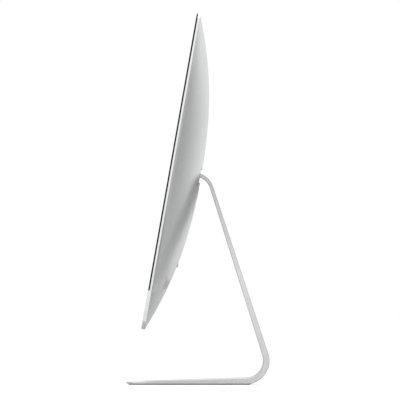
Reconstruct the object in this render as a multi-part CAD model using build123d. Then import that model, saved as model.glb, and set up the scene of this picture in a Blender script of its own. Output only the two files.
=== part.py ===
from build123d import *
import math
import os

# All-in-one desktop computer: a thin display body with a swollen back,
# held by a bent aluminium plate stand through a tilt hinge in its middle.
# Millimetres. +Z is up, the screen faces -Y, X is the width.
# Display pieces are drawn upright (x across, y into the depth, z up from
# mid-height of the display) and then leaned back by TILT onto the stand.

# ---- driving dimensions --------------------------------------------------
BODY_W = 650.0              # display width
BODY_H = 449.2              # display height along the glass
CORNER_R = 12.0             # display corner radius seen from the front
EDGE_T = 5.0                # thickness at the rim
CROWN = 40.7                # swelling of the back beyond the rim
SWELL_X = 2.6               # exponent of the swelling across the width
SWELL_Z = 2.28              # exponent of the swelling over the height
RIM_FULLNESS = 0.6          # 0 a plain dome, 1 the same slope along the whole rim
CORNER_BLEND = 0.03         # softens the swelling right at the corners
WALL = 2.2                  # housing wall
CHIN_H = 55.0               # metal strip below the glass
GLASS_T = 1.7
GLASS_GAP = 0.3             # joint between glass and chin
TILT = 10.0                 # lean of the glass from vertical
DISPLAY_Y = -40.3           # mid-height of the glass plane in the world
DISPLAY_Z = 301.95

HINGE_Y = 28.0              # tilt axis behind the glass plane
HINGE_Z = 8.2               # tilt axis above mid-height
SHAFT_R = 5.0
SHAFT_HALF = 109.0
BLOCK_HALF = 68.0

STAND_W = 190.0
STAND_DEPTH = 203.1
PAD_T = 1.0
ARM_T = 5.2                 # plate thickness where it enters the display
ARM_DROP = 30.0             # fall of the arm as it leaves the hinge, degrees
ARM_END = 6.2               # arm end measured from the hinge axis
SCREW_Y = 9.2               # clamp screws, from the hinge axis
LEG_OUT_LEAN = 18.3         # lean of the rear face of the leg
LEG_IN_LEAN = 17.4          # lean of the front face of the leg
BEND_Y = 68.93              # centre of the bend between leg and foot
BEND_Z = 33.55
BEND_IN_R = 24.0
BEND_OUT_R = 32.6
NECK_IN_R = 24.0            # bend between leg and arm
NECK_OUT_R = 29.3
FOOT_RISE = 1.96            # slope of the foot's top face, degrees
TOE_BOTTOM = 2.3
TOE_TOP = 3.6
CABLE_HOLE_R = 19.0
CABLE_HOLE_Z = 118.0

SLOT_HALF = 98.2            # stand slot in the housing
SLOT_LOW = -9.6
SLOT_HIGH = 11.7
TRIM_T = 1.2
TRIM_Y = 42.1               # inner end of the slot trim
TRIM_SINK = 0.5             # the trim ends this far below the back
EDGE_BREAK = 0.7            # rounding of the stand's rims
GRILLE_W = 150.0            # exhaust opening below the stand slot
GRILLE_LOW = -34.0
GRILLE_HIGH = -14.0
DOOR_HALF = 58.0            # memory door opening
DOOR_LOW = -84.0
DOOR_HIGH = -38.0
DOOR_T = 2.0
DOOR_PIVOT_Y = 43.1
DOOR_PIVOT_Z = -39.4
RELEASE_Z = -95.0
INLET_Z = -118.0
INLET_R = 14.0
PORT_Z = -158.0
WINDOW_Z = 80.0             # antenna window
WINDOW_R = 24.0
POWER_X = -228.0            # power button
POWER_Z = -178.0
POWER_R = 7.0

BOARD_Y0 = 6.9              # logic board
BOARD_Y1 = 8.3
FAN_X = -111.0
FAN_Z = -60.0
FAN_HALF = 49.0

HALF_W = BODY_W / 2
HALF_H = BODY_H / 2
CHIN_TOP = -HALF_H + CHIN_H
GLASS_LOW = CHIN_TOP + GLASS_GAP
GLASS_MID = (HALF_H + GLASS_LOW) / 2

os.makedirs("parts", exist_ok=True)

DISPLAY = Pos(0, DISPLAY_Y, DISPLAY_Z) * Rot(-TILT, 0, 0)
LEAN = math.radians(TILT)
AXIS_Y = DISPLAY_Y + HINGE_Y * math.cos(LEAN) + HINGE_Z * math.sin(LEAN)
AXIS_Z = DISPLAY_Z - HINGE_Y * math.sin(LEAN) + HINGE_Z * math.cos(LEAN)
ARM = Pos(0, AXIS_Y, AXIS_Z) * Rot(-ARM_DROP, 0, 0)


# ---- small helpers -------------------------------------------------------
def box(x0, x1, y0, y1, z0, z1):
    centre = Pos((x0 + x1) / 2, (y0 + y1) / 2, (z0 + z1) / 2)
    return centre * Box(x1 - x0, y1 - y0, z1 - z0)


def rod_x(y, z, r, x0, x1):
    return Pos((x0 + x1) / 2, y, z) * Rot(0, 90, 0) * Cylinder(r, x1 - x0)


def rod_y(x, z, r, y0, y1):
    return Pos(x, (y0 + y1) / 2, z) * Rot(90, 0, 0) * Cylinder(r, y1 - y0)


def plate(w, h, r, y0, y1, x=0.0, z=0.0):
    return Pos(x, y0, z) * Rot(-90, 0, 0) * extrude(RectangleRounded(w, h, r), y1 - y0)


def rounded(x0, x1, z0, z1, r, y0, y1):
    return plate(x1 - x0, z1 - z0, r, y0, y1, (x0 + x1) / 2, (z0 + z1) / 2)


def lead(points, radius, r):
    path = FilletPolyline(*points, radius=radius)
    start = Plane(path @ 0, z_dir=path % 0)
    return sweep(start * Circle(r), path=path)


def swell(x, z):
    # one profile across and one over the height, blended so that the back
    # meets the rim nearly as steeply towards the corners as at mid-length
    across = 1 - abs(x / HALF_W) ** SWELL_X
    up = 1 - abs(z / HALF_H) ** SWELL_Z
    low = min(across, up)
    high = max(across, up, CORNER_BLEND)
    if low <= 0:
        return low * high ** (1 - RIM_FULLNESS)
    joint = max(across + up - across * up, CORNER_BLEND)
    return across * up / joint ** RIM_FULLNESS


def depth(x, z):
    return EDGE_T + CROWN * swell(x, z)


def under_back(drop):
    # everything in front of the swollen back, lowered by drop
    cols = 44
    rows = 34
    past_rim = 1.03
    points = []
    for j in range(rows + 1):
        z = HALF_H * past_rim * (2 * j / rows - 1)
        row = []
        for i in range(cols + 1):
            x = HALF_W * past_rim * (2 * i / cols - 1)
            row.append(Vector(x, depth(x, z) - drop, z))
        points.append(row)
    skin = Face.make_surface_from_array_of_points(points, tol=0.02, min_deg=3, max_deg=5)
    return Solid.extrude(skin, Vector(0, -90, 0))


def save(shape, name, display=True):
    placed = DISPLAY * shape if display else shape
    export_step(placed, "parts/" + name + ".step")


OUTER = plate(BODY_W, BODY_H, CORNER_R, 0, 60) & under_back(0)
INNER = under_back(WALL)
ROOM = under_back(WALL + 0.6)


# ---- stand ---------------------------------------------------------------
def aim(degrees):
    a = math.radians(degrees)
    return Vector(math.cos(a), math.sin(a))


def meet(p, a, q, b):
    # crossing of the line through p at angle a with the line through q at angle b
    u = aim(a)
    v = aim(b)
    d = q - p
    t = (d.X * v.Y - d.Y * v.X) / (u.X * v.Y - u.Y * v.X)
    return p + u * t


def stand_outline():
    bend = Vector(BEND_Y, BEND_Z)
    axis = Vector(AXIS_Y, AXIS_Z)
    rear = bend + aim(LEG_OUT_LEAN) * BEND_OUT_R
    front = bend + aim(LEG_IN_LEAN) * BEND_IN_R
    top = bend - aim(90 + FOOT_RISE) * BEND_IN_R
    arm_up = axis + aim(90 - ARM_DROP) * (ARM_T / 2)
    arm_down = axis - aim(90 - ARM_DROP) * (ARM_T / 2)
    toe_y = BEND_Y + BEND_OUT_R - STAND_DEPTH
    heel = meet(rear, 90 + LEG_OUT_LEAN, Vector(0, PAD_T), 0)
    inner_heel = meet(front, 90 + LEG_IN_LEAN, top, FOOT_RISE)
    neck_in = meet(front, 90 + LEG_IN_LEAN, arm_down, -ARM_DROP)
    neck_out = meet(rear, 90 + LEG_OUT_LEAN, arm_up, -ARM_DROP)
    end = aim(-ARM_DROP) * ARM_END
    points = [
        Vector(toe_y + 4.0, PAD_T),
        Vector(toe_y, TOE_BOTTOM),
        Vector(toe_y, TOE_TOP),
        inner_heel,
        neck_in,
        arm_down + end,
        arm_up + end,
        neck_out,
        heel,
    ]
    radii = [2.0, 0.5, 0.5, BEND_IN_R, NECK_IN_R, 0, 0, NECK_OUT_R, BEND_OUT_R]
    return points, radii


def make_stand():
    points, radii = stand_outline()
    # polyline corners are rounded from the second point on
    outline = FilletPolyline(*points, radius=radii, close=True)
    side = Plane.YZ * make_face(outline)
    body = extrude(side, STAND_W / 2, both=True)
    plan = Pos(0, 150, 0) * RectangleRounded(STAND_W, 300 + STAND_DEPTH, 12)
    body = body & Pos(0, 0, -1) * extrude(plan, 400)
    # the arm is full width in the slot and narrower at the hinge block
    for side_x in (-1, 1):
        corner = box(BLOCK_HALF + 1.5, 100, 0, 14.2, -6, 6)
        body -= ARM * mirror_x(corner, side_x)
    # hole for the power cord through the leg
    mid_y = BEND_Y + (BEND_IN_R + BEND_OUT_R) / 2 / math.cos(math.radians(LEG_OUT_LEAN))
    mid_y -= (CABLE_HOLE_Z - BEND_Z) * math.tan(math.radians(LEG_OUT_LEAN))
    hole = Pos(0, mid_y, CABLE_HOLE_Z) * Rot(LEG_OUT_LEAN - 90, 0, 0)
    body -= hole * Cylinder(CABLE_HOLE_R, 60)
    body = fillet(rim_edges(body), EDGE_BREAK)
    for x in screw_columns():
        body -= ARM * Pos(x, SCREW_Y, 0) * Cylinder(1.75, 20)
    return body


def rim_edges(body):
    # long edges of the leg's sides, but not under the foot, and of the cable hole
    found = []
    for edge in body.edges():
        middle = edge.position_at(0.5)
        on_side = abs(abs(middle.X) - STAND_W / 2) < 0.01 and edge.length > 12
        on_side = on_side and abs(middle.Z - PAD_T) > 0.01
        on_hole = edge.geom_type == GeomType.ELLIPSE or edge.geom_type == GeomType.CIRCLE
        on_hole = on_hole and abs(middle.X) < CABLE_HOLE_R + 1 and 90 < middle.Z < 145
        if on_side or on_hole:
            found.append(edge)
    return found


def mirror_x(shape, side_x):
    if side_x > 0:
        return shape
    return mirror(shape, Plane.YZ)


def screw_columns():
    return [-55, -33, -11, 11, 33, 55]


save(make_stand(), "stand", False)


def make_foot_pad():
    toe_y = BEND_Y + BEND_OUT_R - STAND_DEPTH
    rear_y = BEND_Y + 5.5
    front_y = toe_y + 3.7
    shape = RectangleRounded(STAND_W - 4, rear_y - front_y, 9)
    return Pos(0, (front_y + rear_y) / 2, 0) * extrude(shape, PAD_T)


save(make_foot_pad(), "foot_pad", False)


# ---- tilt hinge, stand side ---------------------------------------------
def make_hinge_block():
    body = rod_x(0, 0, 8.5, -BLOCK_HALF, BLOCK_HALF)
    body += box(-BLOCK_HALF, BLOCK_HALF, 0, 12.5, -5.6, 5.6)
    body -= rod_x(0, 0, SHAFT_R, -BLOCK_HALF - 1, BLOCK_HALF + 1)
    gap = ARM_T / 2
    body -= box(-BLOCK_HALF - 1, BLOCK_HALF + 1, ARM_END, 20, -gap, gap)
    for x in screw_columns():
        body -= Pos(x, SCREW_Y, 0) * Cylinder(1.75, 30)
        body -= Pos(x, SCREW_Y, 4.6) * Cylinder(3.0, 2.0)
    return body


save(ARM * make_hinge_block(), "hinge_block", False)


def make_hinge_shaft():
    body = rod_x(0, 0, SHAFT_R, -SHAFT_HALF, SHAFT_HALF)
    for end in (-1, 1):
        tip = faces_at_x(body, end * SHAFT_HALF)
        body = chamfer(tip.edges(), 0.6)
    return body


def faces_at_x(body, x):
    return body.faces().sort_by(lambda f: abs(f.center().X - x))[0]


save(ARM * make_hinge_shaft(), "hinge_shaft", False)


def make_clamp_screws():
    body = None
    for x in screw_columns():
        one = Pos(x, SCREW_Y, -0.9) * Cylinder(1.7, 9.4)
        one += Pos(x, SCREW_Y, 4.4) * Cylinder(2.9, 1.6)
        one -= Pos(x, SCREW_Y, 5.2) * extrude(RegularPolygon(1.25, 6), -1.0)
        body = one if body is None else body + one
    return body


save(ARM * make_clamp_screws(), "clamp_screws", False)


# ---- tilt hinge, display side -------------------------------------------
def make_bracket(side_x):
    ear = box(100, 104, 19, 37.5, -4, 22)
    ear -= rod_x(HINGE_Y, HINGE_Z, SHAFT_R + 0.05, 90, 110)
    foot = box(104, 122, 34.5, 37.5, -4, 22)
    for z in (2, 16):
        foot -= rod_y(114, z, 1.8, 30, 40)
    rib = box(104, 122, 26, 34.5, 19.5, 22)
    return mirror_x(ear + foot + rib, side_x)


save(make_bracket(1), "hinge_bracket_right")
save(make_bracket(-1), "hinge_bracket_left")


def make_bracket_screws():
    body = None
    for side_x in (-1, 1):
        for z in (2, 16):
            one = rod_y(side_x * 114, z, 1.7, 32.0, 39.5)
            one += rod_y(side_x * 114, z, 3.2, 32.6, 34.5)
            body = one if body is None else body + one
    return body


def make_washers():
    body = None
    for side_x in (-1, 1):
        for n in range(3):
            x = side_x * (94.0 + 2.0 * n)
            one = rod_x(HINGE_Y, HINGE_Z, 9.0, x - 0.8, x + 0.8)
            one -= rod_x(HINGE_Y, HINGE_Z, SHAFT_R + 0.05, x - 2, x + 2)
            body = one if body is None else body + one
    return body


save(make_bracket_screws(), "bracket_screws")
save(make_washers(), "friction_washers")


def make_spring(side_x):
    pitch = 3.2
    turns = 6
    helix = Helix(pitch, pitch * turns, 6.6)
    start = Plane(helix @ 0, z_dir=helix % 0)
    coil = sweep(start * Circle(0.9), path=helix, is_frenet=True)
    placed = Pos(71.0, HINGE_Y, HINGE_Z) * Rot(0, 90, 0) * coil
    return mirror_x(placed, side_x)


save(make_spring(1), "tilt_spring_right")
save(make_spring(-1), "tilt_spring_left")


# ---- ports on the back ---------------------------------------------------
# (x, half width, half height) of each connector shell
DATA_X = [156.0, 171.0, 186.0, 201.0]
VIDEO_X = [127.0, 141.0]
NETWORK_X = 108.0
CARD_X = 213.5
JACK_X = 225.5
JACK_R = 1.8
JACK_DEPTH = 14.0
PORT_GAP = 0.15
PORT_SINK = 0.1             # connectors end this far below the back
UNDER_SKIN = under_back(PORT_SINK)


def mouth(x, half_w, half_h):
    # lowest point of the back over a connector
    return depth(x + half_w, PORT_Z - half_h) - PORT_SINK


def shell_size():
    sizes = [(NETWORK_X, 6.8, 8.2), (CARD_X, 2.3, 13.2)]
    for x in DATA_X:
        sizes.append((x, 2.95, 6.65))
    for x in VIDEO_X:
        sizes.append((x, 3.0, 4.5))
    return sizes


def connector(x, half_w, half_h, hole_w, hole_h, bottom, reach):
    # a shell that ends level with the back, which slopes across it
    top = mouth(x, half_w, half_h)
    body = rounded(x - half_w, x + half_w, PORT_Z - half_h, PORT_Z + half_h, 0.6, bottom, 60)
    hole = rounded(x - hole_w, x + hole_w, PORT_Z - hole_h, PORT_Z + hole_h, 0.3, top - reach, 61)
    return (body & UNDER_SKIN) - hole


def make_network_port():
    body = connector(NETWORK_X, 6.8, 8.2, 4.1, 5.9, BOARD_Y1, 12)
    top = mouth(NETWORK_X, 6.8, 8.2)
    body -= box(NETWORK_X + 4.0, NETWORK_X + 5.6, top - 12, 61, PORT_Z - 3, PORT_Z + 3)
    return body


def make_video_ports():
    body = None
    for x in VIDEO_X:
        top = mouth(x, 3.0, 4.5)
        one = connector(x, 3.0, 4.5, 2.3, 3.75, BOARD_Y1, 8)
        one += box(x - 0.5, x + 0.5, top - 8.5, top - 1.5, PORT_Z - 2.6, PORT_Z + 2.6)
        body = one if body is None else body + one
    return body


def make_data_ports():
    body = None
    for x in DATA_X:
        top = mouth(x, 2.95, 6.65)
        one = connector(x, 2.95, 6.65, 2.56, 6.25, BOARD_Y1, 9)
        one += box(x + 0.2, x + 2.0, top - 9.2, top - 1.2, PORT_Z - 5.6, PORT_Z + 5.6)
        body = one if body is None else body + one
    return body


def make_audio_jack():
    top = mouth(JACK_X, 3.6, 3.6)
    body = box(JACK_X - 3.6, JACK_X + 3.6, 3.0, top - 3.0, PORT_Z - 3.6, PORT_Z + 3.6)
    body += rod_y(JACK_X, PORT_Z, 3.0, top - 3.5, top)
    return body - rod_y(JACK_X, PORT_Z, JACK_R, top - JACK_DEPTH, top + 1)


save(make_network_port(), "network_port")
save(make_video_ports(), "display_ports")
save(make_data_ports(), "data_ports")
save(connector(CARD_X, 2.3, 13.2, 1.3, 12.2, 4.0, 12), "card_slot")
save(make_audio_jack(), "audio_jack")


# ---- rear housing --------------------------------------------------------
def make_cavity():
    void = rounded(-HALF_W + 8, HALF_W - 8, GLASS_LOW + 7.3, HALF_H - 8, 6, GLASS_T + 0.5, 70)
    chin = rounded(-HALF_W + 4, HALF_W - 4, -HALF_H + 2.5, GLASS_LOW - 2, 5, 1.5, 70)
    step = box(-HALF_W + 8, HALF_W - 8, 3.7, 70, GLASS_LOW - 3, GLASS_LOW + 8)
    return (void + chin + step) & INNER


def port_cuts():
    cut = None
    for x, w, h in shell_size():
        w += PORT_GAP
        h += PORT_GAP
        one = rounded(x - w, x + w, PORT_Z - h, PORT_Z + h, 0.8, 10, 60)
        cut = one if cut is None else cut + one
    return cut + rod_y(JACK_X, PORT_Z, 3.0 + PORT_GAP, 10, 60)


def boss(x, z, r, y0):
    return rod_y(x, z, r, y0, depth(x, z) - WALL / 2)


def make_bosses():
    body = None
    spots = []
    for side_x in (-1, 1):
        spots += [(side_x * 114, 2, 5, 37.5), (side_x * 114, 16, 5, 37.5)]
    # pillars of the logic board, drive bracket, power supply and fan
    spots += [(232, -60, 3, BOARD_Y1), (-56, -172, 3, BOARD_Y1), (90, -172, 3, BOARD_Y1)]
    spots += [(218, 40, 3, 9.5), (218, 86, 3, 9.5), (106, 40, 3, 9.5), (106, 86, 3, 9.5)]
    spots += [(-238, 30, 3, 9.5), (-238, -94, 3, 9.5), (-56, -104, 3, 28.0)]
    for x, z, r, y0 in spots:
        one = boss(x, z, r, y0)
        body = one if body is None else body + one
    for side_x in (-1, 1):
        for z in (2, 16):
            body -= rod_y(side_x * 114, z, 1.75, 30, 40.4)
    return body


def door_sockets():
    body = None
    for side_x in (-1, 1):
        one = box(58.6, 63.5, 39.8, 43.4, -42.0, -36.6)
        one = mirror_x(one, side_x)
        body = one if body is None else body + one
    return body


def intake_slots():
    cut = None
    for n in range(-15, 16):
        x = n * 19.0
        one = rounded(x - 7, x + 7, -HALF_H - 2, -HALF_H + 4, 0.01, 2.0, 3.6)
        cut = one if cut is None else cut + one
    return cut


def make_housing():
    body = OUTER - make_cavity()
    body -= box(-HALF_W - 1, HALF_W + 1, -1, GLASS_T + 0.5, CHIN_TOP, HALF_H + 1)
    body += make_bosses() + door_sockets()
    body -= rounded(-SLOT_HALF, SLOT_HALF, SLOT_LOW, SLOT_HIGH, 6, 37, 60)
    body -= rounded(-GRILLE_W / 2, GRILLE_W / 2, GRILLE_LOW, GRILLE_HIGH, 4, 30, 60)
    body -= rounded(-DOOR_HALF, DOOR_HALF, DOOR_LOW, DOOR_HIGH, 3, 30, 60)
    body -= box(-DOOR_HALF, DOOR_HALF, 30, 60, DOOR_HIGH - 10, DOOR_HIGH)
    body -= rod_x(DOOR_PIVOT_Y, DOOR_PIVOT_Z, 0.65, -62.5, 62.5)
    body -= rod_y(0, INLET_Z, INLET_R + 0.3, 25, 60)
    body -= rod_y(0, RELEASE_Z, 3.3, 30, 60)
    body -= rod_y(0, WINDOW_Z, WINDOW_R + 0.1, 30, 60)
    body -= rod_y(POWER_X, POWER_Z, POWER_R + 0.35, 8, 60)
    body -= port_cuts()
    body -= intake_slots()
    return body


save(make_housing(), "rear_housing")


def make_slot_trim():
    body = rounded(-SLOT_HALF, SLOT_HALF, SLOT_LOW, SLOT_HIGH, 6, TRIM_Y, 60)
    body = body & under_back(TRIM_SINK)
    t = TRIM_T
    hole = rounded(-SLOT_HALF + t, SLOT_HALF - t, SLOT_LOW + t, SLOT_HIGH - t, 4.8, 30, 60)
    return body - hole


def make_grille():
    body = rounded(-GRILLE_W / 2, GRILLE_W / 2, GRILLE_LOW, GRILLE_HIGH, 4, 30, 60)
    body = (body & OUTER) - under_back(WALL)
    slots = None
    for n in range(-17, 18):
        x = n * 4.1
        one = rounded(x - 1.3, x + 1.3, GRILLE_LOW + 3, GRILLE_HIGH - 3, 1.2, 30, 60)
        slots = one if slots is None else slots + one
    return body - slots


def make_window():
    return rod_y(0, WINDOW_Z, WINDOW_R, 36.5, 60) & OUTER


save(make_slot_trim(), "slot_trim")
save(make_grille(), "exhaust_grille")
save(make_window(), "antenna_window")


# ---- memory door, release button, power button --------------------------
def make_door():
    w = DOOR_HALF - 0.4
    body = rounded(-w, w, DOOR_LOW + 0.4, DOOR_PIVOT_Z + 3, 2.6, 30, 60)
    body = (body & OUTER) - under_back(DOOR_T)
    body -= box(-70, 70, 30, 60, DOOR_PIVOT_Z, -30)
    body += rod_x(DOOR_PIVOT_Y, DOOR_PIVOT_Z, 1.0, -w, w)
    body += rod_x(DOOR_PIVOT_Y, DOOR_PIVOT_Z, 0.6, -61.5, 61.5)
    # stiffening ribs on the inside
    for x in (-54, 54):
        body += box(x - 0.6, x + 0.6, 39.9, 41.6, -70, -44)
    return body


def make_release():
    body = rod_y(0, RELEASE_Z, 3.0, 31, 60) & under_back(0.2)
    return body + rod_y(0, RELEASE_Z, 4.2, 31, 33)


def make_power_button():
    body = rod_y(POWER_X, POWER_Z, POWER_R, 8.4, 60) & under_back(0.2)
    return body + rod_y(POWER_X, POWER_Z, 2.2, 6.9, 9)


def make_power_switch():
    body = box(POWER_X - 9, POWER_X + 9, 3.0, 4.2, POWER_Z - 6, POWER_Z + 6)
    return body + box(POWER_X - 3, POWER_X + 3, 4.2, 5.6, POWER_Z - 3, POWER_Z + 3)


save(make_door(), "memory_door")
save(make_release(), "door_release_button")
save(make_power_button(), "power_button")
save(make_power_switch(), "power_switch")


# ---- power inlet ---------------------------------------------------------
def make_inlet():
    top = depth(0, INLET_Z) - 1.2
    body = rod_y(0, INLET_Z, INLET_R, 14, top)
    body -= rod_y(0, INLET_Z, 12.0, top - 15, top + 1)
    for x in (-5.5, 0, 5.5):
        body += rod_y(x, INLET_Z + 4, 1.2, top - 15.5, top - 3)
    return body


save(make_inlet(), "power_inlet")


# ---- screen --------------------------------------------------------------
def make_glass():
    body = plate(BODY_W, BODY_H, CORNER_R, 0, GLASS_T)
    return body - box(-HALF_W - 1, HALF_W + 1, -1, 5, -HALF_H - 1, GLASS_LOW)


def make_adhesive():
    y0 = GLASS_T
    y1 = GLASS_T + 0.5
    ring = rounded(-HALF_W + 1.2, HALF_W - 1.2, GLASS_LOW + 0.8, HALF_H - 1.2, 10, y0, y1)
    return ring - rounded(-HALF_W + 7, HALF_W - 7, GLASS_LOW + 6.8, HALF_H - 7, 5, y0 - 1, y1 + 1)


def make_tray():
    body = rounded(-278, 278, -122, 178, 4, 4.3, 6.3)
    for x in (-210, -70, 70, 210):
        body -= rounded(x - 60, x + 60, -100, 20, 8, 5.5, 7)
        body -= rounded(x - 60, x + 60, 40, 160, 8, 5.5, 7)
    return body


save(make_glass(), "front_glass")
save(make_adhesive(), "glass_adhesive")
save(rounded(-298.5, 298.5, GLASS_MID - 168, GLASS_MID + 168, 1, GLASS_T, 3.2), "lcd_panel")
save(rounded(-300.5, 300.5, GLASS_MID - 170, GLASS_MID + 170, 2, 3.2, 4.3), "backlight_unit")
save(make_tray(), "panel_tray")


def make_camera():
    z = 208.5
    body = box(-13, 13, 5.2, 6.2, z - 4, z + 4)
    body += box(-4.5, 4.5, 3.0, 5.2, z - 4, z + 4)
    return body + rod_y(0, z, 3.0, GLASS_T, 3.0)


save(make_camera(), "camera_module")


# ---- logic board and what sits on it ------------------------------------
def make_board():
    body = rounded(-62, 236, -176, -38, 3, BOARD_Y0, BOARD_Y1)
    body -= box(JACK_X - 3.9, JACK_X + 3.9, 5, 10, PORT_Z - 3.9, PORT_Z + 3.9)
    body -= box(CARD_X - 2.6, CARD_X + 2.6, 5, 10, PORT_Z - 13.5, PORT_Z + 13.5)
    # voltage converter coils round the processor, and controller chips
    for n in range(6):
        x = 116 + 9 * n
        body += box(x - 3.5, x + 3.5, BOARD_Y1, 12.5, -52, -45)
    for x, z, s in ((40, -128, 12), (84, -128, 9), (116, -128, 6)):
        body += box(x - s, x + s, BOARD_Y1, 9.8, z - s, z + s)
    body += box(62, 96, BOARD_Y1, 11.0, -80, -46)
    body += box(-62, -54, BOARD_Y1, 13.0, -154, -146)
    body += box(-58, -46, BOARD_Y1, 14.0, -137, -127)
    body += box(228, 236, BOARD_Y1, 12.0, -144, -136)
    body += box(176, 184, BOARD_Y1, 9.8, -64, -54)
    body += box(122, 128, BOARD_Y1, 11.5, -129, -105)
    return body


def make_sockets():
    body = None
    for n in range(4):
        z = -48.5 - 9.0 * n
        one = box(-38, 38, BOARD_Y1, 13.3, z - 3.2, z + 3.2)
        one -= box(-34.2, 34.2, 9.3, 14, z - 0.7, z + 0.7)
        body = one if body is None else body + one
    return body


def make_module(z):
    body = box(-33.8, 33.8, 9.3, 39.3, z - 0.6, z + 0.6)
    for n in range(4):
        x = -24 + 16 * n
        body += box(x - 5.5, x + 5.5, 19, 33, z - 1.7, z + 1.7)
    return body


def make_cage():
    body = box(-46, 46, BOARD_Y1, 36.0, -82, -42)
    body -= box(-44.8, 44.8, 5, 60, -80.8, -43.2)
    for side_x in (-1, 1):
        rail = box(46, 51.5, 30.0, 31.0, -69, -67.9)
        rail += box(46, 51.5, 30.0, 31.0, -56.1, -55)
        body += mirror_x(rail, side_x)
    return body


def make_latch(side_x):
    body = box(46.4, 48.0, 24.0, 38.6, -67.5, -56.5)
    body += box(46.4, 51.0, 37.2, 38.6, -66, -58)
    return mirror_x(body, side_x)


save(make_board(), "logic_board")
save(make_sockets(), "memory_sockets")
save(make_module(-48.5), "memory_module_a")
save(make_module(-66.5), "memory_module_b")
save(make_cage(), "memory_cage")
save(make_latch(1), "memory_latch_right")
save(make_latch(-1), "memory_latch_left")
save(rod_y(60, -104, 10, BOARD_Y1, 11.5), "coin_cell")


def make_blade():
    body = box(128, 208, 9.9, 10.7, -128, -106)
    for x in (148, 170, 192):
        body += box(x - 7, x + 7, 10.7, 12.0, -125, -109)
    return body - box(122, 128, 8, 12, -129, -105)


def make_wireless():
    body = box(140, 170, BOARD_Y1 + 0.9, 10.0, -100, -72)
    return body + box(143, 167, 10.0, 11.8, -97, -75) + box(137, 141, BOARD_Y1, 11, -100, -72)


save(make_blade(), "solid_state_module")
save(make_wireless(), "wireless_card")


# ---- cooling -------------------------------------------------------------
def pipe_paths():
    first = [(70, 17, -78), (70, 17, -28), (-52, 17, -28)]
    second = [(88, 17, -78), (88, 17, -20), (-52, 17, -20)]
    return first, second


def make_pipes():
    first, second = pipe_paths()
    return lead(first, 12, 3.0) + lead(second, 12, 3.0)


def make_cold_plate():
    body = box(58, 100, 11.0, 16.0, -84, -42)
    first, second = pipe_paths()
    for path in (first, second):
        x = path[0][0]
        body -= Pos(x, 17, -60) * Cylinder(3.05, 60)
    return body


def make_fins():
    body = None
    for n in range(31):
        x = -48 + 3.2 * n
        one = box(x - 0.25, x + 0.25, 12, 37, -35, -13)
        body = one if body is None else body + one
    for z in (-34.5, -13.5):
        body += box(-48.2, 48.2, 12, 37, z - 0.4, z + 0.4)
    for z in (-28, -20):
        body -= rod_x(17, z, 3.0, -60, 60)
    return body


save(make_pipes(), "heat_pipes")
save(make_cold_plate(), "cold_plate")
save(make_fins(), "heatsink_fins")


def fan_box(y0, y1):
    h = FAN_HALF
    return rounded(FAN_X - h, FAN_X + h, FAN_Z - h, FAN_Z + h, 8, y0, y1)


def make_fan_housing():
    body = fan_box(9.0, 28.0)
    body -= rod_y(FAN_X, FAN_Z, 44.5, 5, 26.5)
    body -= box(FAN_X, FAN_X + 60, 5, 26.5, FAN_Z + 20, FAN_Z + 44.5)
    body -= rod_y(FAN_X, FAN_Z, 12.0, 20, 40)
    for angle in (30, 150, 270):
        arm = Pos(FAN_X, 0, FAN_Z) * Rot(0, angle, 0) * box(3.5, 13, 26.5, 28, -2, 2)
        body += arm
    body += rod_y(FAN_X, FAN_Z, 5.0, 26.5, 28)
    return body + rod_y(FAN_X, FAN_Z, 2.0, 14, 27)


def make_fan_cover():
    body = fan_box(8.0, 9.0)
    return body - rod_y(FAN_X, FAN_Z, 30.0, 5, 12)


def make_rotor():
    body = rod_y(0, 0, 16.0, 11.0, 25.0)
    body += rod_y(0, 0, 32.0, 23.8, 25.0)
    blade = Pos(0, 18, 0) * Rot(90, 0, 0) * Pos(28, 0, 0) * Rot(0, 0, 28) * Box(26, 0.9, 12)
    for n in range(17):
        body += Rot(0, n * 360 / 17, 0) * blade
    body -= rod_y(0, 0, 2.05, 5, 30)
    return Pos(FAN_X, 0, FAN_Z) * body


save(make_fan_housing(), "fan_housing")
save(make_fan_cover(), "fan_cover")
save(make_rotor(), "fan_rotor")


# ---- power supply, drive, sound -----------------------------------------
def make_supply():
    body = rounded(-232, -168, -112, 48, 3, 7, 20)
    for n in range(10):
        z = -96 + 14 * n
        body -= rounded(-222, -178, z - 1.5, z + 1.5, 1.4, 18.6, 22)
    return body


def make_bracket_tray():
    body = box(109, 215, 8.0, 9.0, 26, 100)
    body -= rounded(122, 202, 38, 88, 6, 5, 12)
    for x in (109, 214):
        body += box(x, x + 1, 8.0, 16.5, 26, 100)
    for x in (105, 216):
        for z in (40, 86):
            tab = box(x - 4.5, x + 6.5, 8.0, 9.0, z - 5, z + 5)
            body += tab
    return body


def make_speaker(side_x):
    body = box(250, 306, 6.9, 70, -165, -60)
    body += box(250, 306, 2.2, 70, -216, -174)
    body += box(250, 306, 4.4, 70, -175, -164)
    body = body & ROOM & rounded(-318, 318, -220, 210, 4, 2, 70)
    body -= rod_y(272, -118, 18.0, 5, 11.0)
    return mirror_x(body, side_x)


def make_driver(side_x):
    body = rod_y(272, -118, 17.7, 7.0, 8.4)
    body -= rod_y(272, -118, 14.5, 5, 7.6)
    body += rod_y(272, -118, 9.0, 8.4, 10.8)
    return mirror_x(body, side_x)


save(make_supply(), "power_supply")
save(box(113, 211, 9.6, 19.1, 29, 97), "hard_drive")
save(make_bracket_tray(), "drive_bracket")
save(make_speaker(1), "speaker_right")
save(make_speaker(-1), "speaker_left")
save(make_driver(1), "speaker_driver_right")
save(make_driver(-1), "speaker_driver_left")


# ---- internal leads ------------------------------------------------------
def make_ribbon():
    top = [(6.3, -12), (6.3, -26), (8.3, -36), (8.3, -44)]
    points = [(y, z) for y, z in top] + [(y + 0.4, z) for y, z in reversed(top)]
    side = Plane.YZ * make_face(Polyline(*points, close=True))
    return Pos(135, 0, 0) * extrude(side, 22)


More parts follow.
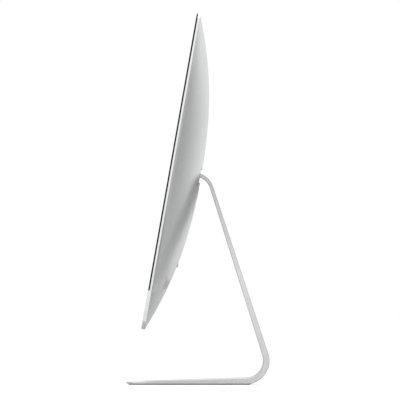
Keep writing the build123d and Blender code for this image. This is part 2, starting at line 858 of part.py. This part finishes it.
def make_speaker_leads():
    body = rod_x(10.2, -140, 1.2, 236, 250)
    return body + rod_x(10.2, -150, 1.2, -250, -62)


def make_camera_lead():
    path = [(8, 7.2, 204), (8, 7.2, 150), (226, 7.2, 150), (226, 7.2, -33)]
    return lead(path, 8, 0.8) + box(220, 232, 6.9, 9.3, -38, -33)


save(make_ribbon(), "display_ribbon")
save(lead([(-215, 13, -112), (-215, 13, -132), (-58, 13, -132)], 10, 2.5), "supply_lead")
save(lead([(-200, 12, -112), (-200, 12, -122), (-14.2, 17, -122)], 7, 2.5), "inlet_lead")
save(lead([(180, 14, 26), (180, 14, -59), (180, 9.8, -59)], 3, 1.6), "drive_lead")
save(make_speaker_leads(), "speaker_leads")
save(make_camera_lead(), "camera_lead")
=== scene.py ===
import bpy
import math
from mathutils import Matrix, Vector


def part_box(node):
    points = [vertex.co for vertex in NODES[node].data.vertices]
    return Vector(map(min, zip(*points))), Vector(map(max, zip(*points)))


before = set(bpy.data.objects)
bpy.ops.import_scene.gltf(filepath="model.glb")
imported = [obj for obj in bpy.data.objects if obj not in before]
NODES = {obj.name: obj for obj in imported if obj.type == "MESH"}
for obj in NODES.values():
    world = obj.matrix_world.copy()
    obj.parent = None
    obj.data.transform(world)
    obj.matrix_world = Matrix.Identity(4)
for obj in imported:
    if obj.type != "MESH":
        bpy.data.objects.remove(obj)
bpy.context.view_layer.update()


# ---- node helpers -----------------------------------------------------------
def math_node(tree, kind, a, b=0.0):
    """One Math node. a and b are numbers or sockets."""
    node = tree.nodes.new("ShaderNodeMath")
    node.operation = kind
    for socket, value in zip(node.inputs, (a, b)):
        if isinstance(value, float):
            socket.default_value = value
        else:
            tree.links.new(value, socket)
    return node.outputs[0]


class Shader:
    """A material with one Principled shader, textured in object space, in metres."""

    def __init__(self, name):
        self.material = bpy.data.materials.new(name)
        self.material.use_nodes = True
        self.tree = self.material.node_tree
        self.shader = self.tree.nodes["Principled BSDF"]
        self.place = self.output("TexCoord", "Object")

    def output(self, kind, socket):
        """A socket of a new node that takes no input."""
        return self.tree.nodes.new("ShaderNode" + kind).outputs[socket]

    def put(self, **values):
        for key, value in values.items():
            self.shader.inputs[key.replace("_", " ")].default_value = value

    def link(self, a, b):
        self.tree.links.new(a, b)

    def colour(self, socket):
        self.link(socket, self.shader.inputs["Base Color"])

    def rough(self, socket):
        self.link(socket, self.shader.inputs["Roughness"])

    def math(self, kind, a, b=0.0):
        return math_node(self.tree, kind, a, b)

    def split(self, vector):
        node = self.tree.nodes.new("ShaderNodeSeparateXYZ")
        self.link(vector, node.inputs[0])
        return node.outputs

    def stretch(self, scale):
        node = self.tree.nodes.new("ShaderNodeMapping")
        node.inputs["Scale"].default_value = scale
        self.link(self.place, node.inputs["Vector"])
        return node.outputs["Vector"]

    def noise(self, scale, detail=3.0, rough=0.55, place=None):
        node = self.tree.nodes.new("ShaderNodeTexNoise")
        node.inputs["Scale"].default_value = scale
        node.inputs["Detail"].default_value = detail
        node.inputs["Roughness"].default_value = rough
        self.link(place or self.place, node.inputs["Vector"])
        return node.outputs["Fac"]

    def cells(self, scale):
        node = self.tree.nodes.new("ShaderNodeTexVoronoi")
        node.inputs["Scale"].default_value = scale
        self.link(self.place, node.inputs["Vector"])
        return node.outputs["Distance"]

    def ramp(self, value, low=0.0, high=1.0, start=0.3, end=0.7):
        """Goes from low to high while the value goes from start to end, and stays there."""
        node = self.tree.nodes.new("ShaderNodeMapRange")
        node.inputs["From Min"].default_value = start
        node.inputs["From Max"].default_value = end
        node.inputs["To Min"].default_value = low
        node.inputs["To Max"].default_value = high
        self.link(value, node.inputs["Value"])
        return node.outputs["Result"]

    def mix(self, factor, *colours):
        """The first colour at factor 0 and the second at 1, each a tuple or a socket."""
        node = self.tree.nodes.new("ShaderNodeMix")
        node.data_type = "RGBA"
        self.link(factor, node.inputs[0])
        for socket, colour in zip(node.inputs[6:8], colours):
            if isinstance(colour, tuple):
                socket.default_value = (*colour, 1.0)
            else:
                self.link(colour, socket)
        return node.outputs[2]

    def bump(self, height, distance, strength, edge=0.0):
        """Relief of that distance in metres, with edges rounded to the radius edge."""
        node = self.tree.nodes.new("ShaderNodeBump")
        node.inputs["Distance"].default_value = distance
        node.inputs["Strength"].default_value = strength
        self.link(height, node.inputs["Height"])
        if edge:
            bevel = self.tree.nodes.new("ShaderNodeBevel")
            bevel.samples = 4
            bevel.inputs["Radius"].default_value = edge
            self.link(bevel.outputs[0], node.inputs["Normal"])
        self.link(node.outputs[0], self.shader.inputs["Normal"])


def shade(tone, factor, lift=0.0):
    return tuple(min(1.0, channel * factor + lift) for channel in tone)


# ---- materials --------------------------------------------------------------
METAL_EDGE = 0.0005          # radii to which shading rounds the edges
FINE_EDGE = 0.0003
HIGHLIGHT_FROM = 0.93              # sideways part of the normal where the painted highlight begins
HIGHLIGHT_TO = 0.985               # and where it is full
BEND_PAINTED_SHADE = 0.26           # how much of its brightness the colour loses to painted shade at the upper bend
PAINTED_SHADE_BLACK = (0.0, 0.0, 0.0)


def aluminium(name, tone, highlight_tone, rough, bend=None):
    """Bead-blasted and anodised, with a painted highlight where a face looks straight sideways.
    bend gives the heights between which painted shade darkens the colour towards an upper bend."""
    s = Shader(name)
    s.put(Metallic=1.0)
    broad = s.noise(7.0, detail=4.0, rough=0.6)
    fine = s.noise(900.0, detail=2.0, rough=0.6)
    blasted = s.mix(s.ramp(broad), shade(tone, 0.955), tone)
    normal_x = s.split(s.output("NewGeometry", "Normal"))[0]
    # painted highlight: a brighter colour on faces whose normal points along X
    sideways_highlight = s.ramp(s.math("ABSOLUTE", normal_x), start=HIGHLIGHT_FROM, end=HIGHLIGHT_TO)
    finish_and_painted_light = s.mix(sideways_highlight, blasted, highlight_tone)
    # painted shade: the colour darkens towards black between the bend heights
    if bend:
        start, end = bend
        height = s.split(s.place)[2]
        finish_and_painted_light = s.mix(s.ramp(height, high=BEND_PAINTED_SHADE, start=start, end=end), finish_and_painted_light, PAINTED_SHADE_BLACK)
    s.colour(finish_and_painted_light)
    s.rough(s.math("ADD", s.ramp(fine, -0.03, 0.03), s.ramp(broad, rough - 0.03, rough + 0.03)))
    s.bump(s.noise(2600.0, detail=2.0, rough=0.7), distance=0.00002, strength=0.35, edge=METAL_EDGE)
    return s.material


CAMERA_WINDOW_R = 0.0026
LENS_R = 0.45 * CAMERA_WINDOW_R


def screen_glass(name, panel, camera_z):
    """Black glass: a deep black printed border round a slightly lighter panel, with a small
    round camera window in the border above it. panel holds the panel's low and high corner."""
    s = Shader(name)
    s.put(IOR=1.36)
    x, _, z = s.split(s.place)
    low, high = panel
    across = s.math("ABSOLUTE", x)
    along = s.math("ABSOLUTE", s.math("SUBTRACT", z, (low.z + high.z) / 2))
    inside_x = s.math("LESS_THAN", across, (high.x - low.x) / 2)
    inside_z = s.math("LESS_THAN", along, (high.z - low.z) / 2)
    cloud = s.ramp(s.noise(9.0, detail=5.0, rough=0.62))
    screen = s.mix(cloud, (0.013, 0.0135, 0.0155), (0.017, 0.0175, 0.020))
    border = s.mix(cloud, (0.0035, 0.0035, 0.004), (0.005, 0.005, 0.0055))
    black = s.mix(s.math("MULTIPLY", inside_x, inside_z), border, screen)
    above = s.math("SUBTRACT", z, camera_z)
    squares = s.math("ADD", s.math("MULTIPLY", x, x), s.math("MULTIPLY", above, above))
    from_camera = s.math("SQRT", squares)
    window = s.math("LESS_THAN", from_camera, CAMERA_WINDOW_R)
    lens = s.math("LESS_THAN", from_camera, LENS_R)
    black = s.mix(window, black, (0.035, 0.037, 0.042))
    s.colour(s.mix(lens, black, (0.004, 0.005, 0.010)))
    smear = s.noise(30.0, detail=6.0, rough=0.7, place=s.stretch((1.0, 1.0, 0.45)))
    s.rough(s.ramp(smear, 0.045, 0.085))
    s.bump(s.noise(60.0, detail=1.0, rough=0.5), distance=0.00001, strength=0.05, edge=METAL_EDGE)
    return s.material


def plastic(name, tone, rough=0.5, grain=1400.0, depth=0.00004):
    """Moulded, with a fine cellular grain of that many cells to the metre."""
    s = Shader(name)
    s.put(IOR=1.46)
    s.colour(s.mix(s.ramp(s.noise(40.0)), tone, shade(tone, 1.18, lift=0.004)))
    s.rough(s.ramp(s.noise(300.0), rough - 0.06, rough + 0.06))
    s.bump(s.cells(grain), depth, strength=0.4, edge=FINE_EDGE)
    return s.material


def rubber(name, tone):
    s = Shader(name)
    s.put(IOR=1.45, Sheen_Weight=0.15, Sheen_Roughness=0.6)
    s.colour(s.mix(s.ramp(s.noise(120.0, detail=4.0)), tone, shade(tone, 1.5)))
    s.rough(s.ramp(s.noise(500.0), 0.68, 0.85))
    s.bump(s.noise(1500.0), distance=0.00008, strength=0.5, edge=FINE_EDGE)
    return s.material


def steel(name, tone, rough, along):
    """Drawn or milled, with lines that run along the axis of the smallest number in along."""
    s = Shader(name)
    s.put(Metallic=1.0)
    lines = s.noise(260.0, detail=4.0, rough=0.7, place=s.stretch(along))
    s.colour(s.mix(s.ramp(lines), shade(tone, 0.86), tone))
    s.rough(s.ramp(lines, rough - 0.07, rough + 0.08))
    s.bump(lines, distance=0.00003, strength=0.3, edge=FINE_EDGE)
    return s.material


def painted(name, tone, rough=0.5):
    s = Shader(name)
    s.put(IOR=1.5, Coat_Weight=0.1, Coat_Roughness=0.3)
    s.colour(s.mix(s.ramp(s.noise(25.0, detail=4.0)), tone, shade(tone, 1.25)))
    s.rough(s.ramp(s.noise(400.0, detail=2.0), rough - 0.05, rough + 0.08))
    s.bump(s.noise(1100.0, detail=2.0), distance=0.00006, strength=0.5, edge=FINE_EDGE)
    return s.material


def board(name):
    """Green solder mask over traces, with small round gold pads."""
    s = Shader(name)
    s.put(IOR=1.5, Coat_Weight=0.35, Coat_Roughness=0.25)
    pads = s.ramp(s.cells(420.0), 1.0, 0.0, start=0.10, end=0.16)
    traces = s.ramp(s.noise(330.0, detail=5.0, rough=0.8), start=0.47, end=0.53)
    mask = s.mix(traces, (0.006, 0.032, 0.020), (0.012, 0.058, 0.034))
    s.colour(s.mix(pads, mask, (0.45, 0.40, 0.26)))
    s.rough(s.ramp(s.noise(200.0), 0.30, 0.46))
    s.bump(traces, distance=0.00005, strength=0.5)
    return s.material


def copper(name):
    s = Shader(name)
    s.put(Metallic=1.0)
    stain = s.noise(55.0, detail=5.0, rough=0.65)
    s.colour(s.mix(s.ramp(stain), (0.62, 0.27, 0.15), (0.80, 0.43, 0.27)))
    s.rough(s.ramp(stain, 0.24, 0.42))
    s.bump(s.noise(900.0), distance=0.00003, strength=0.4)
    return s.material


# ---- finishes of the CAD nodes ----------------------------------------------
STAND_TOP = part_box("stand")[1].z
# heights between which painted shade darkens the stand towards its upper bend
STAND_BEND = (0.5 * STAND_TOP, 0.93 * STAND_TOP)
CAMERA_LOW, CAMERA_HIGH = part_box("camera_module")
CAMERA_Z = (CAMERA_LOW.z + CAMERA_HIGH.z) / 2
LINES_X = (1.0, 25.0, 25.0)
LINES_Z = (8.0, 8.0, 1.0)
SHORT_LINES_X = (1.0, 6.0, 6.0)

FINISHES = [
    # the second tone of each aluminium is a painted highlight on faces that look sideways
    (aluminium("body_aluminium", (0.89, 0.895, 0.90), (0.955, 0.96, 0.965), 0.24),
     "rear_housing memory_door power_button exhaust_grille"),
    # STAND_BEND adds painted shade at the stand's upper bend
    (aluminium("stand_aluminium", (0.87, 0.873, 0.877), (0.90, 0.903, 0.907), 0.30, STAND_BEND),
     "stand"),
    (aluminium("fin_aluminium", (0.80, 0.805, 0.81), (0.84, 0.845, 0.85), 0.38),
     "heatsink_fins"),
    (screen_glass("screen_glass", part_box("lcd_panel"), CAMERA_Z),
     "front_glass"),
    (rubber("foot_rubber", (0.10, 0.10, 0.105)),
     "foot_pad"),
    (rubber("black_rubber", (0.020, 0.020, 0.021)),
     "glass_adhesive camera_lead supply_lead inlet_lead drive_lead speaker_leads"),
    (steel("machined_steel", (0.56, 0.57, 0.58), 0.34, LINES_X),
     "hinge_block hinge_shaft hinge_bracket_left hinge_bracket_right"),
    (steel("plated_steel", (0.66, 0.66, 0.64), 0.28, LINES_Z),
     "clamp_screws bracket_screws panel_tray fan_cover memory_cage drive_bracket coin_cell"),
    (steel("spring_steel", (0.30, 0.31, 0.33), 0.30, LINES_X),
     "friction_washers tilt_spring_left tilt_spring_right"),
    (steel("port_steel", (0.34, 0.34, 0.35), 0.30, SHORT_LINES_X),
     "card_slot data_ports display_ports network_port"),
    (plastic("black_plastic", (0.018, 0.018, 0.019)),
     "slot_trim antenna_window fan_housing fan_rotor memory_sockets memory_latch_left "
     "memory_latch_right power_switch audio_jack speaker_left speaker_right camera_module"),
    (plastic("grey_plastic", (0.20, 0.20, 0.205)),
     "door_release_button speaker_driver_left speaker_driver_right display_ribbon"),
    (plastic("white_plastic", (0.72, 0.72, 0.71), 0.42),
     "power_inlet"),
    (plastic("film", (0.60, 0.62, 0.64), 0.25, grain=700.0, depth=0.00001),
     "backlight_unit"),
    (plastic("panel_cell", (0.02, 0.02, 0.024), 0.12, grain=500.0, depth=0.000004),
     "lcd_panel"),
    (painted("black_paint", (0.025, 0.025, 0.027)),
     "power_supply"),
    (painted("cast_metal", (0.32, 0.33, 0.34), 0.45),
     "hard_drive"),
    (board("circuit_board"),
     "logic_board solid_state_module wireless_card memory_module_a memory_module_b"),
    (copper("copper"),
     "cold_plate heat_pipes"),
]

for material, names in FINISHES:
    for name in names.split():
        slots = NODES[name].data.materials
        slots.clear()
        slots.append(material)


# ---- floor ------------------------------------------------------------------
FLOOR_R = 2.2
FLOOR_CORNERS = 96
FLOOR_LIFT = 0.76            # makes the floor as white as the backdrop where it is seen
WHITE = (1.0, 1.0, 1.0, 1.0)


def make_floor():
    mesh = bpy.data.meshes.new("floor")
    turns = (2 * math.pi * n / FLOOR_CORNERS for n in range(FLOOR_CORNERS))
    ring = [(FLOOR_R * math.cos(a), FLOOR_R * math.sin(a), 0.0) for a in turns]
    mesh.from_pydata(ring, [], [tuple(range(FLOOR_CORNERS))])
    floor = bpy.data.objects.new("floor", mesh)
    bpy.context.scene.collection.objects.link(floor)
    s = Shader("floor_paint")
    s.colour(s.mix(s.ramp(s.noise(3.0)), (0.52, 0.52, 0.52), (0.56, 0.56, 0.56)))
    s.rough(s.ramp(s.noise(40.0), 0.75, 0.85))
    s.put(Emission_Color=WHITE)
    seen = s.output("LightPath", "Is Camera Ray")
    s.link(s.math("MULTIPLY", seen, FLOOR_LIFT), s.shader.inputs["Emission Strength"])
    mesh.materials.append(s.material)


# ---- light ------------------------------------------------------------------
SIDE_LIGHT = 0.80            # strength towards +X and -X
SIDE_POWER = 8.0             # a higher power narrows the lit band
END_LIGHT = 0.45             # strength towards +Y and -Y
END_POWER = 6.0
TOP_LIGHT = 0.44             # strength straight up
FILL_LIGHT = 0.17            # strength everywhere
ABOVE_ONE = 1.001            # keeps the level part of a direction above zero overhead
LAMP_POWER = 14.0
LAMP_HEIGHT = 2.2
LAMP_SIZE = (2.4, 1.6)


def make_world():
    """White where it is seen directly. As a light it is brightest to both sides, a little less
    to the front and back, and darker between them, so that curved metal shows its shape."""
    world = bpy.data.worlds.new("studio")
    bpy.context.scene.world = world
    world.use_nodes = True
    tree = world.node_tree
    direction = tree.nodes.new("ShaderNodeTexCoord").outputs["Generated"]
    axes = tree.nodes.new("ShaderNodeSeparateXYZ")
    tree.links.new(direction, axes.inputs[0])
    x, y, z = axes.outputs

    def part(kind, a, b=0.0):
        return math_node(tree, kind, a, b)

    level = part("POWER", part("SUBTRACT", ABOVE_ONE, part("MULTIPLY", z, z)), 0.5)

    def towards(axis, power, strength):
        share = part("DIVIDE", part("ABSOLUTE", axis), level)
        return part("MULTIPLY", part("POWER", share, power), strength)

    around = part("ADD", towards(x, SIDE_POWER, SIDE_LIGHT), towards(y, END_POWER, END_LIGHT))
    above = part("MULTIPLY", part("POWER", part("MAXIMUM", z, 0.0), 2.0), TOP_LIGHT)
    light = part("ADD", around, part("ADD", above, FILL_LIGHT))
    seen = tree.nodes.new("ShaderNodeLightPath").outputs["Is Camera Ray"]
    background = tree.nodes["Background"]
    background.inputs["Color"].default_value = WHITE
    tree.links.new(part("MAXIMUM", light, seen), background.inputs["Strength"])


def make_lamp():
    """One wide soft lamp overhead, facing straight down."""
    lamp = bpy.data.lights.new("overhead", "AREA")
    lamp.shape = "RECTANGLE"
    lamp.size, lamp.size_y = LAMP_SIZE
    lamp.energy = LAMP_POWER
    lamp_object = bpy.data.objects.new("overhead", lamp)
    bpy.context.scene.collection.objects.link(lamp_object)
    lamp_object.location = (0.0, 0.0, LAMP_HEIGHT)


# ---- camera -----------------------------------------------------------------
FOCAL_LENGTH = 1500.0        # mm, so far off that the view is almost parallel
SENSOR = 36.0                # mm
VIEW_SIZE = 0.5644           # width and height that the picture spans at VIEW_X
VIEW_X = 0.16
VIEW_Y = 0.0031              # middle of the picture
VIEW_Z = 0.2615
FARTHEST = 100.0


def make_camera():
    """Level view from +X, the exact side view of the photo."""
    data = bpy.data.cameras.new("camera")
    data.lens = FOCAL_LENGTH
    data.sensor_width = SENSOR
    data.clip_end = FARTHEST
    camera = bpy.data.objects.new("camera", data)
    bpy.context.scene.collection.objects.link(camera)
    camera.location = (VIEW_X + VIEW_SIZE * FOCAL_LENGTH / SENSOR, VIEW_Y, VIEW_Z)
    camera.rotation_euler = (math.radians(90), 0.0, math.radians(90))
    bpy.context.scene.camera = camera


make_floor()
make_world()
make_lamp()
make_camera()
bpy.context.scene.view_settings.view_transform = "Standard"
bpy.context.scene.view_settings.look = "None"
